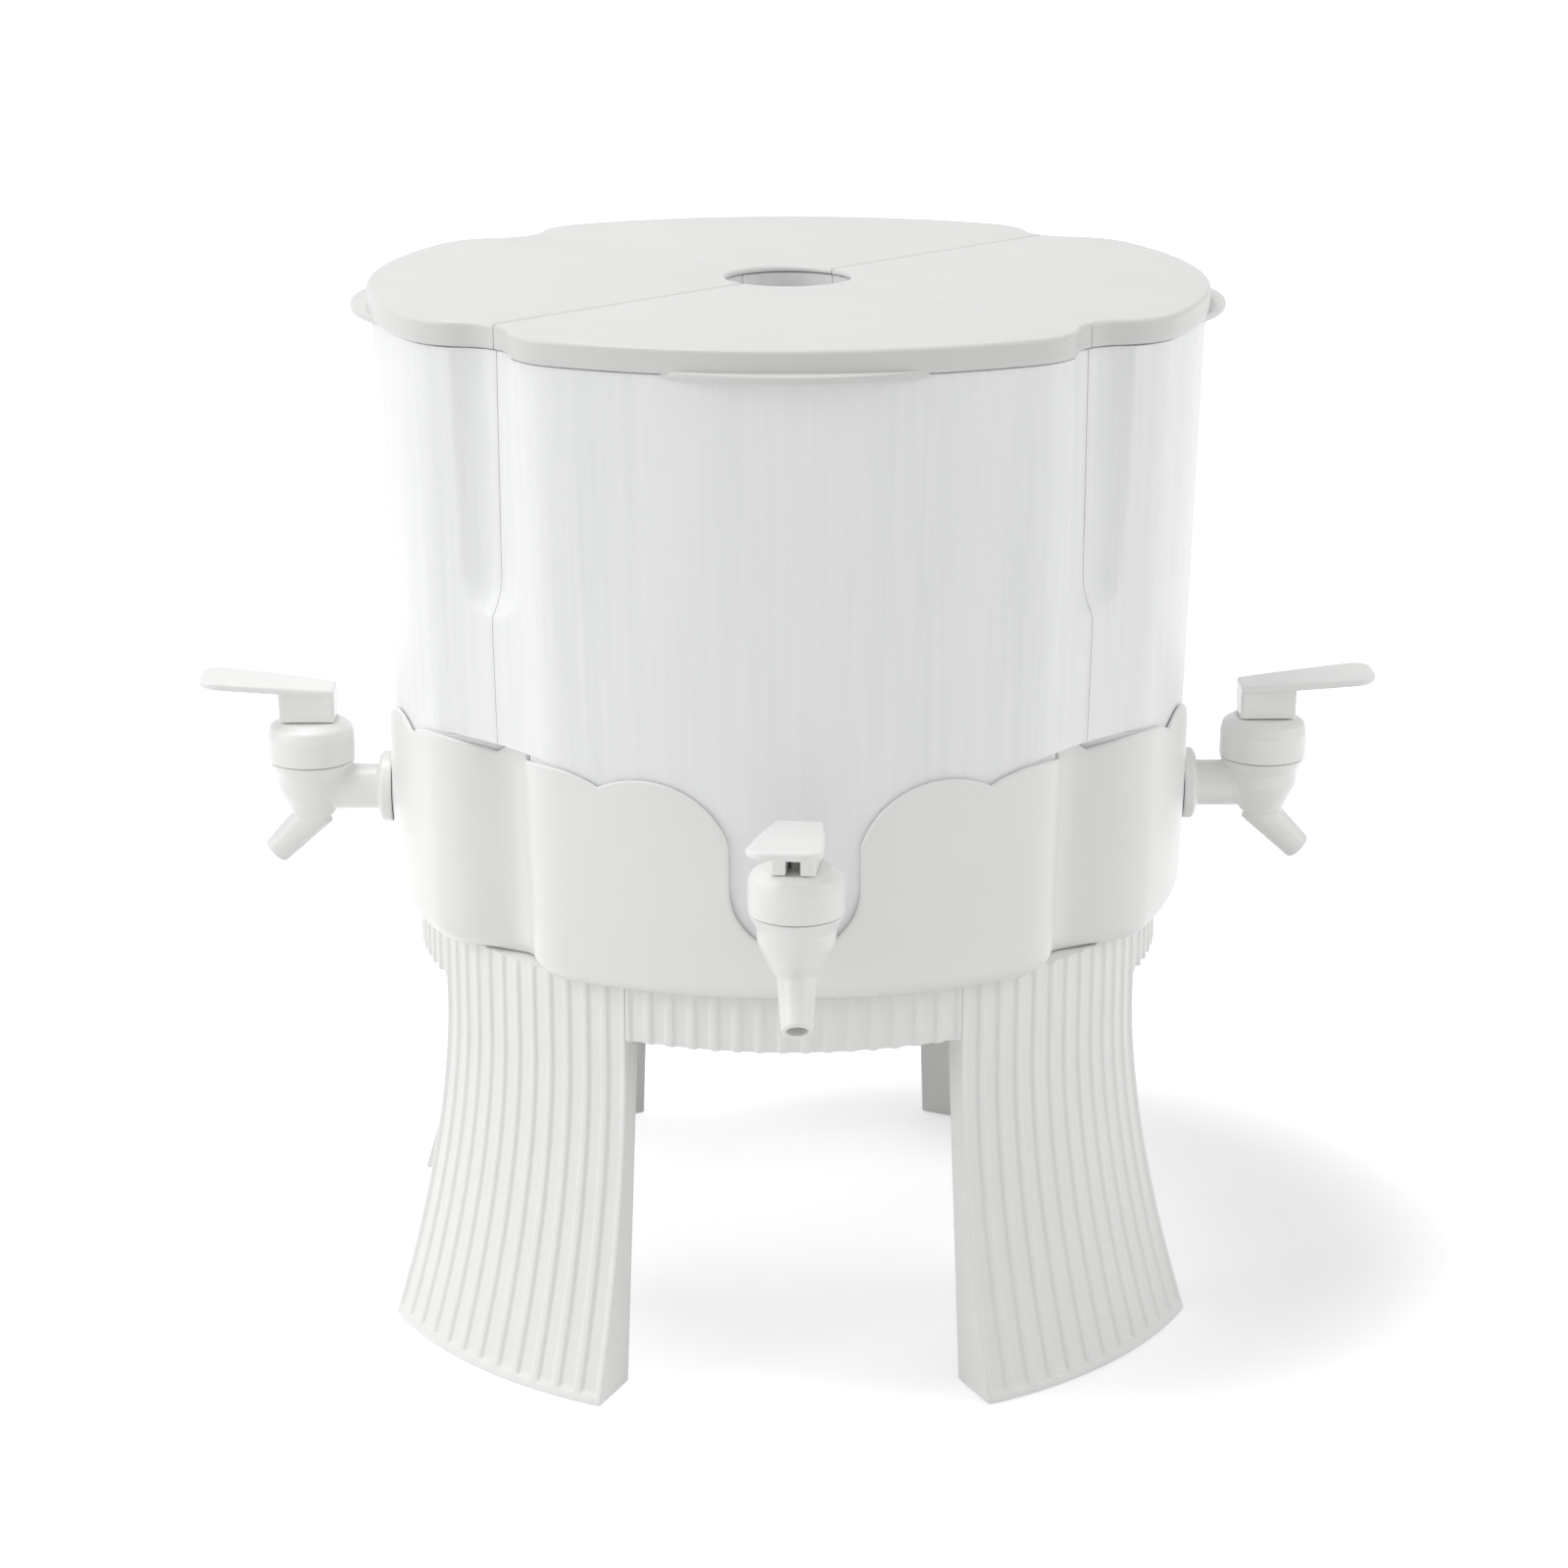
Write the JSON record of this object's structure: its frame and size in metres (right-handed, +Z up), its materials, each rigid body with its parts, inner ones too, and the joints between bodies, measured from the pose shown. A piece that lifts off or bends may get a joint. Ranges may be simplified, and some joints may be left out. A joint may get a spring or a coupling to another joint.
{
  "type": "rotating drink dispenser",
  "caption": "White drink dispenser: wedge-shaped tanks with press taps sit in a scalloped cradle that turns on a fluted, legged stand.",
  "frame": {"origin": "on the turning axis, at the level of the feet", "axes": "+Z up along the turning axis, -Y towards the front tap in the picture, +X to its right"},
  "size_m": [0.406, 0.4063, 0.349],
  "materials": {
    "white_abs": "satin moulded white",
    "frosted_polypropylene": "slightly milky, fine vertical drag lines",
    "silicone": "soft matt",
    "acetal": "smooth bearing plastic",
    "zinc_steel": "bright zinc plated"
  },
  "bodies": {
    "stand": {"stand_ring": "white_abs", "leg_back_left": "white_abs", "leg_front_left": "white_abs", "leg_front_right": "white_abs", "leg_back_right": "white_abs", "leg_screw_back_left": "zinc_steel", "leg_screw_front_left": "zinc_steel", "leg_screw_front_right": "zinc_steel", "leg_screw_back_right": "zinc_steel", "spindle_bolt": "zinc_steel", "spindle_washer": "zinc_steel", "spindle_nut": "zinc_steel"},
    "ball_ring": {"bearing_cage": "acetal", "bearing_ball_1": "acetal", "bearing_ball_2": "acetal", "bearing_ball_3": "acetal", "bearing_ball_4": "acetal", "bearing_ball_5": "acetal", "bearing_ball_6": "acetal", "bearing_ball_7": "acetal", "bearing_ball_8": "acetal"},
    "cradle": {"cradle": "white_abs"},
    "tank_back": {"tank_back": "frosted_polypropylene", "tap_body_back": "white_abs", "tap_bonnet_back": "white_abs", "tap_gasket_back": "silicone", "tap_nut_back": "white_abs"},
    "lid_back": {"lid_back": "white_abs"},
    "lever_back": {"tap_lever_back": "white_abs"},
    "stem_back": {"tap_stem_back": "acetal", "tap_seat_cup_back": "silicone"},
    "tank_left": {"tank_left": "frosted_polypropylene", "tap_body_left": "white_abs", "tap_bonnet_left": "white_abs", "tap_gasket_left": "silicone", "tap_nut_left": "white_abs"},
    "lid_left": {"lid_left": "white_abs"},
    "lever_left": {"tap_lever_left": "white_abs"},
    "stem_left": {"tap_stem_left": "acetal", "tap_seat_cup_left": "silicone"},
    "tank_front": {"tank_front": "frosted_polypropylene", "tap_body_front": "white_abs", "tap_bonnet_front": "white_abs", "tap_gasket_front": "silicone", "tap_nut_front": "white_abs"},
    "lid_front": {"lid_front": "white_abs"},
    "lever_front": {"tap_lever_front": "white_abs"},
    "stem_front": {"tap_stem_front": "acetal", "tap_seat_cup_front": "silicone"},
    "tank_right": {"tank_right": "frosted_polypropylene", "tap_body_right": "white_abs", "tap_bonnet_right": "white_abs", "tap_gasket_right": "silicone", "tap_nut_right": "white_abs"},
    "lid_right": {"lid_right": "white_abs"},
    "lever_right": {"tap_lever_right": "white_abs"},
    "stem_right": {"tap_stem_right": "acetal", "tap_seat_cup_right": "silicone"}
  },
  "joints": [
    {"name": "turntable_spin", "type": "hinge", "parent": "stand", "child": "cradle", "pos_m": [0, 0, 0.1394], "axis": [0, 0, 1], "continuous": true},
    {"name": "ball_ring_spin", "type": "hinge", "parent": "stand", "child": "ball_ring", "pos_m": [0, 0, 0.1362], "axis": [0, 0, 1], "continuous": true},
    {"name": "tank_lift_back", "type": "slide", "parent": "cradle", "child": "tank_back", "axis": [0, 0, 1], "range_m": [0, 0.08]},
    {"name": "lid_lift_back", "type": "slide", "parent": "tank_back", "child": "lid_back", "axis": [0, 0, 1], "range_m": [0, 0.03]},
    {"name": "lever_press_back", "type": "hinge", "parent": "tank_back", "child": "lever_back", "pos_m": [0, 0.1758, 0.1957], "axis": [-1, 0, 0], "range_deg": [0, 18], "stiffness_Nm_per_rad": 0.2, "springref_deg": -11.46},
    {"name": "stem_lift_back", "type": "slide", "parent": "tank_back", "child": "stem_back", "axis": [0, 0, 1], "range_m": [0, 0.00396]},
    {"name": "tank_lift_left", "type": "slide", "parent": "cradle", "child": "tank_left", "axis": [0, 0, 1], "range_m": [0, 0.08]},
    {"name": "lid_lift_left", "type": "slide", "parent": "tank_left", "child": "lid_left", "axis": [0, 0, 1], "range_m": [0, 0.03]},
    {"name": "lever_press_left", "type": "hinge", "parent": "tank_left", "child": "lever_left", "pos_m": [-0.1758, 0, 0.1957], "axis": [0, -1, 0], "range_deg": [0, 18], "stiffness_Nm_per_rad": 0.2, "springref_deg": -11.46},
    {"name": "stem_lift_left", "type": "slide", "parent": "tank_left", "child": "stem_left", "axis": [0, 0, 1], "range_m": [0, 0.00396]},
    {"name": "tank_lift_front", "type": "slide", "parent": "cradle", "child": "tank_front", "axis": [0, 0, 1], "range_m": [0, 0.08]},
    {"name": "lid_lift_front", "type": "slide", "parent": "tank_front", "child": "lid_front", "axis": [0, 0, 1], "range_m": [0, 0.03]},
    {"name": "lever_press_front", "type": "hinge", "parent": "tank_front", "child": "lever_front", "pos_m": [-0.00134, -0.17571, 0.1957], "axis": [0.9914, -0.1305, 0], "range_deg": [0, 18], "stiffness_Nm_per_rad": 0.2, "springref_deg": -11.46},
    {"name": "stem_lift_front", "type": "slide", "parent": "tank_front", "child": "stem_front", "axis": [0, 0, 1], "range_m": [0, 0.00396]},
    {"name": "tank_lift_right", "type": "slide", "parent": "cradle", "child": "tank_right", "axis": [0, 0, 1], "range_m": [0, 0.08]},
    {"name": "lid_lift_right", "type": "slide", "parent": "tank_right", "child": "lid_right", "axis": [0, 0, 1], "range_m": [0, 0.03]},
    {"name": "lever_press_right", "type": "hinge", "parent": "tank_right", "child": "lever_right", "pos_m": [0.1758, 0, 0.1957], "axis": [0, 1, 0], "range_deg": [0, 18], "stiffness_Nm_per_rad": 0.2, "springref_deg": -11.46},
    {"name": "stem_lift_right", "type": "slide", "parent": "tank_right", "child": "stem_right", "axis": [0, 0, 1], "range_m": [0, 0.00396]}
  ],
  "couplings": [
    {"joint": "ball_ring_spin", "follows": "turntable_spin", "ratio": 0.5},
    {"joint": "stem_lift_back", "follows": "lever_press_back", "m_per_rad": 0.0126},
    {"joint": "stem_lift_left", "follows": "lever_press_left", "m_per_rad": 0.0126},
    {"joint": "stem_lift_front", "follows": "lever_press_front", "m_per_rad": 0.0126},
    {"joint": "stem_lift_right", "follows": "lever_press_right", "m_per_rad": 0.0126}
  ]
}
